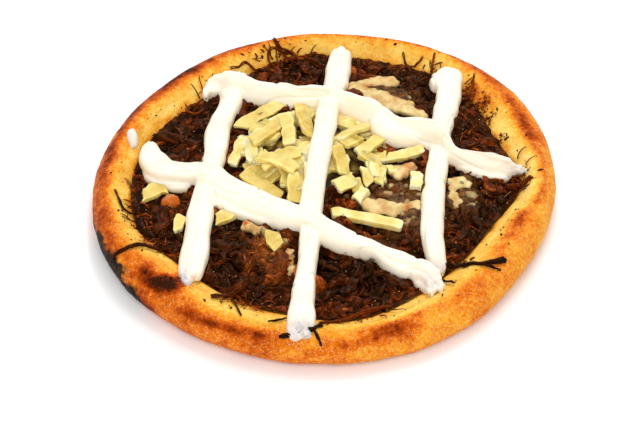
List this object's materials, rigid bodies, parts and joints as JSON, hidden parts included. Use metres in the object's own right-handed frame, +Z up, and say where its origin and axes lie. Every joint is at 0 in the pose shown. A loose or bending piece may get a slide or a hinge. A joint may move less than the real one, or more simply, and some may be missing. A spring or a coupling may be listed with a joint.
{
  "type": "open meat sfiha with cheese and piped cream cheese",
  "caption": "Round open flatbread with a rolled rim, filled with shredded beef, topped with grated cheese and a lattice of piped cream cheese.",
  "frame": {"origin": "middle of the flat underside", "axes": "+Z up, out of the filling; -Y towards the front edge, where the middle line of cream runs out over the rim"},
  "size_m": [0.1287, 0.1283, 0.0213],
  "materials": {
    "crust": "baked dough, golden with browned patches, dull",
    "beef": "dark brown shredded beef with an oily shine",
    "fresh_cheese": "pale yellow grated cheese, softly translucent",
    "melted_cheese": "melted and lightly browned cheese, shiny",
    "cream": "thick cream cheese, satin"
  },
  "bodies": {
    "root": {"bread": "crust", "beef_filling": "beef", "grated_cheese_heap": "fresh_cheese", "cheese_shred_right": "fresh_cheese", "cheese_long_shred": "fresh_cheese", "cheese_bit_left": "fresh_cheese", "cheese_bit_by_left_rib": "fresh_cheese", "cheese_bit_outside_left_rib": "fresh_cheese", "cheese_bit_middle": "fresh_cheese", "cheese_bit_right": "fresh_cheese", "cheese_bit_front": "fresh_cheese", "melted_cheese_back": "melted_cheese", "melted_cheese_middle": "melted_cheese", "melted_cheese_by_right_rib": "melted_cheese", "melted_cheese_right": "melted_cheese", "melted_cheese_left": "melted_cheese", "melted_cheese_front": "melted_cheese", "melted_cheese_by_middle_rib": "melted_cheese", "cream_rib_left": "cream", "cream_rib_middle": "cream", "cream_rib_right": "cream", "cream_band_back": "cream", "cream_band_front": "cream", "cream_drop": "cream"}
  },
  "joints": []
}
